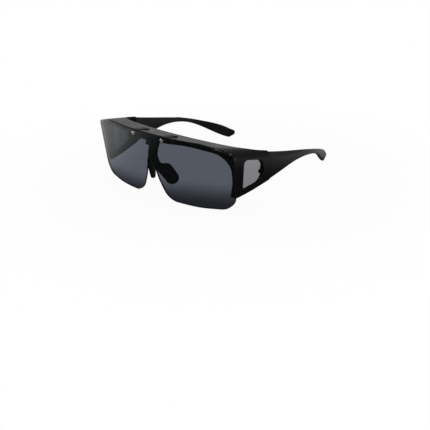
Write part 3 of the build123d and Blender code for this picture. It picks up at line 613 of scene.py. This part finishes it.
def set_screws(name, node_names, body, sizes):
    """One piece that holds the screws of one body."""
    seats = [screw_seat(node_name, sizes["Head Height"]) for node_name in node_names]
    piece = new_piece(name, [tuple(place) for place, axis, length in seats], [])
    carried = piece.data.attributes.new(AXIS_ATTRIBUTE, "FLOAT_VECTOR", "POINT")
    for index, (place, axis, length) in enumerate(seats):
        carried.data[index].vector = axis
    sizes = dict(sizes, **{"Shank Length": float(seats[0][2]), "Finish": bright_steel})
    turned_screw.grow(piece, **sizes)
    smooth_but_sharp_from(piece, 30)
    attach(piece, body)
    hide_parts(*node_names)
    print(name, len(piece.data.polygons), "faces, axis", [round(float(v), 3) for v in seats[0][1]])


# %% Set the screws
LENS_SCREW = {
    "Head Radius": 1.50 * MM, "Head Height": 0.90 * MM, "Head Edge": 0.35 * MM,
    "Recess Radius": 0.80 * MM, "Recess Depth": 0.75 * MM, "Shank Radius": 0.70 * MM}
HINGE_SCREW = {
    "Head Radius": 1.50 * MM, "Head Height": 0.80 * MM, "Head Edge": 0.20 * MM,
    "Recess Radius": 0.80 * MM, "Recess Depth": 0.40 * MM, "Shank Radius": 0.75 * MM}
set_screws("lens_screws", ["lens_screw_left", "lens_screw_right"], "flip_lens", LENS_SCREW)
set_screws("hinge_screws", ["temple_hinge_screw_left", "temple_hinge_screw_right"], "front", HINGE_SCREW)

# %% [markdown]
# ## The pimpled grips
# Each temple tip has a patch on its inner side that keeps it from slipping behind the ear. It is covered
# with small flat pimples. They follow the curved patch, so a Geometry Nodes tree scatters points over it,
# no two nearer than the spacing, and sets a low dome on each, turned with the surface. Bump alone would
# look flat at the edge of the patch.

# %% The tree of a pimpled skin
OPEN_FACE = 0.7
MOST_PIMPLES_PER_AREA = 2.5e7
PIMPLE_SEED = 7


def pimple_tree():
    """Scatters low domes on the faces that look along a direction."""
    tree = Growth("pimpled_skin")
    radius, height, spacing = tree.size("Pimple Radius"), tree.size("Pimple Height"), tree.size("Spacing")
    outward = tree.size("Looks Along", "NodeSocketVector")
    finish = tree.size("Finish", "NodeSocketMaterial")
    normal = tree.node("GeometryNodeInputNormal")
    points = tree.node("GeometryNodeDistributePointsOnFaces", {"distribute_method": "POISSON"}, {
        "Mesh": tree.given(), "Selection": tree.agreement(normal, outward).above(OPEN_FACE),
        "Distance Min": spacing, "Density Max": MOST_PIMPLES_PER_AREA, "Seed": PIMPLE_SEED})
    turn = Wire(tree, points.socket.node.outputs["Rotation"])
    ball = tree.node("GeometryNodeMeshIcoSphere", None, {"Radius": 1.0, "Subdivisions": 2})
    squash = tree.node("ShaderNodeCombineXYZ", None, {"X": radius, "Y": radius, "Z": height})
    dome = tree.node("GeometryNodeTransform", None, {"Geometry": ball, "Scale": squash})
    pimples = tree.node("GeometryNodeInstanceOnPoints", None, {
        "Points": points, "Instance": dome, "Rotation": turn})
    tree.end(tree.join(tree.given(), pimples), finish)
    return tree


pimpled_skin = pimple_tree()
print("grip tree:", len(pimpled_skin.tree.nodes), "nodes")

# %% Grow the grips
PIMPLES = {"Pimple Radius": 0.26 * MM, "Pimple Height": 0.10 * MM, "Spacing": 0.62 * MM}
TO_THE_RIGHT, TO_THE_LEFT = (-1.0, 0.0, 0.0), (1.0, 0.0, 0.0)


def grow_grip(side, inward):
    """The grip of one temple, whose open face looks along inward."""
    piece = merged_copy("temple_grip_" + side, "grip_pad_" + side)
    pimpled_skin.grow(piece, **PIMPLES, **{"Looks Along": inward, "Finish": blacks["grip_black"]})
    smooth_but_sharp_from(piece, 40)
    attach(piece, "temple_" + side)
    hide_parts("temple_grip_" + side)
    print(piece.name, len(piece.data.polygons), "faces")


grow_grip("left", TO_THE_RIGHT)
grow_grip("right", TO_THE_LEFT)

# %% [markdown]
# ## Floor and backdrop
# The photograph has a plain white ground. More light would wash the object out, so the ground is made
# white for the camera alone: most of what the camera sees of the floor is a glow of strength 1, and the
# rest is real paint, which keeps a soft shadow near the object. Away from it the glow takes over, so the
# floor ends without a line. Gloss sees another floor than the camera does, because black plastic is drawn
# by what it mirrors. For gloss the floor is pale at the far side and behind the near side, and dark
# elsewhere, as in the photograph, where the near side of the frame stays almost black.

# %% The floor
FLOOR_RADIUS = 1.5
FLOOR_CORNERS = 64
GLOW_STARTS_TO_FILL, GLOW_FILLS = 0.10, 0.24
GLOW_SHARE_NEAR, GLOW_SHARE_FAR = 0.95, 1.0
FAR_SIDE_STARTS, FAR_SIDE_PALE = -0.03, -0.15
BEHIND_STARTS, BEHIND_PALE, BEHIND_SHARE = 0.11, 0.18, 0.80
MIRRORED_DARK, MIRRORED_PALE = grey(0.05), grey(1.0)
FLOOR_TONE = grey(0.90)
FLECKS_PER_METRE, FLECK_TONE, FLECK_SHARE = 25.0, grey(0.80), 0.04


def floor_paint():
    """White for the camera, and for gloss a painted light or painted shade by place."""
    material, shade = new_finish("floor_paint")
    place = shade.node("ShaderNodeTexCoord", output="Object")
    from_middle = shade.node("ShaderNodeVectorMath", {"operation": "LENGTH"}, {0: place}, 1)
    glow_share = shade.ramp(
        from_middle, GLOW_STARTS_TO_FILL, GLOW_FILLS, GLOW_SHARE_NEAR, GLOW_SHARE_FAR)
    # painted light and shade: for glossy rays the floor has painted pools of light at the far side and
    # behind the near side, and painted shade elsewhere, which the plastic and the lens mirror
    across, along = shade.along(place, X_AXIS), shade.along(place, Y_AXIS)
    far_side = shade.ramp(across, FAR_SIDE_STARTS, FAR_SIDE_PALE)
    near_behind = shade.ramp(across + along, BEHIND_STARTS, BEHIND_PALE, 0.0, BEHIND_SHARE)
    painted_light_for_gloss = shade.blend(far_side + near_behind, MIRRORED_DARK, MIRRORED_PALE)
    fleck = shade.noise(place, FLECKS_PER_METRE, 2.0)
    paint = shade.blend(shade.ray("Glossy"), FLOOR_TONE, painted_light_for_gloss)
    paint = shade.blend(fleck * FLECK_SHARE, paint, FLECK_TONE)
    rough = shade.node("ShaderNodeBsdfDiffuse", None, {"Color": paint})
    glow = shade.node("ShaderNodeEmission", None, {"Color": grey(1.0), "Strength": 1.0})
    seen = shade.ray("Camera") + shade.ray("Transmission")
    surface = shade.node("ShaderNodeMixShader", None, {0: seen * glow_share, 1: rough, 2: glow})
    shade.node("ShaderNodeOutputMaterial", None, {"Surface": surface})
    return material


turns = np.linspace(0, math.tau, FLOOR_CORNERS + 1)[:-1]
ring = [(FLOOR_RADIUS * math.cos(turn), FLOOR_RADIUS * math.sin(turn), 0.0) for turn in turns]
floor = new_piece("floor", ring, [list(range(len(ring)))])
floor.data.materials.append(floor_paint())
print("floor radius", FLOOR_RADIUS, "m")

# %% The studio around it
SOFT_LIGHT = 0.35
PALE_DIRECTION = (0.10, 0.95, -1.10)
PALE_FROM, PALE_FULLY = 0.0, 0.85
GLOSS_DIM, GLOSS_PALE = 0.06, 0.36


def studio_world():
    """White for the camera and even for soft light. For gloss it is pale near the horizon behind the
    pair, and dim above and in front."""
    world = bpy.data.worlds.new("studio")
    world.use_nodes = True
    bpy.context.scene.world = world
    shade = Tree(world.node_tree)
    looking = shade.node("ShaderNodeTexCoord", output="Generated")
    behind = shade.agreement(looking, PALE_DIRECTION)
    pale = shade.ramp(behind, PALE_FROM, PALE_FULLY, GLOSS_DIM, GLOSS_PALE)
    gloss_ray = shade.ray("Glossy")
    camera_ray, glass_ray = shade.ray("Camera"), shade.ray("Transmission")
    strength = SOFT_LIGHT * (1 - gloss_ray) + pale * gloss_ray
    strength = strength * (1 - camera_ray - glass_ray) + camera_ray + glass_ray
    backdrop = shade.node("ShaderNodeBackground", None, {"Color": grey(1.0), "Strength": strength})
    shade.node("ShaderNodeOutputWorld", None, {"Surface": backdrop})
    return world


print("world:", studio_world().name)

# %% [markdown]
# ## Light
# Black gloss is drawn by what it mirrors, so the lamps are wide soft boxes, and they are weak, because
# the pale studio already gives the soft light. One hangs above and a little behind, and draws the line
# along the shoulders. The strongest stands at the far side and gives the sheen at the far edge of the
# lens. One fills from the camera's side.

# %% Hang the soft boxes
def soft_box(name, place, aim, size, watts):
    """A rectangular area lamp that looks at a point."""
    data = bpy.data.lights.new(name, "AREA")
    data.shape = "RECTANGLE"
    data.size, data.size_y = size
    data.energy = watts
    lamp = bpy.data.objects.new(name, data)
    direction = Vector(aim) - Vector(place)
    turn = direction.to_track_quat("-Z", "Y").to_matrix().to_4x4()
    lamp.matrix_world = Matrix.Translation(Vector(place)) @ turn
    bpy.context.scene.collection.objects.link(lamp)
    print(name, watts, "W at", place)


soft_box("box_above", place=(0.0, 0.10, 0.75), aim=(0.0, 0.0, 0.0), size=(0.75, 0.60), watts=1.2)
soft_box("box_far_side", place=(-0.75, -0.15, 0.20), aim=(0.0, -0.03, 0.03), size=(0.30, 0.55), watts=2.2)
soft_box("box_fill", place=(0.55, -0.75, 0.55), aim=(0.0, 0.0, 0.02), size=(0.35, 0.35), watts=1.6)

# %% [markdown]
# ## Look
# The picture is shown with the plain Standard view, so a colour comes out as it was written.

# %% Set the look
bpy.context.scene.view_settings.view_transform = "Standard"
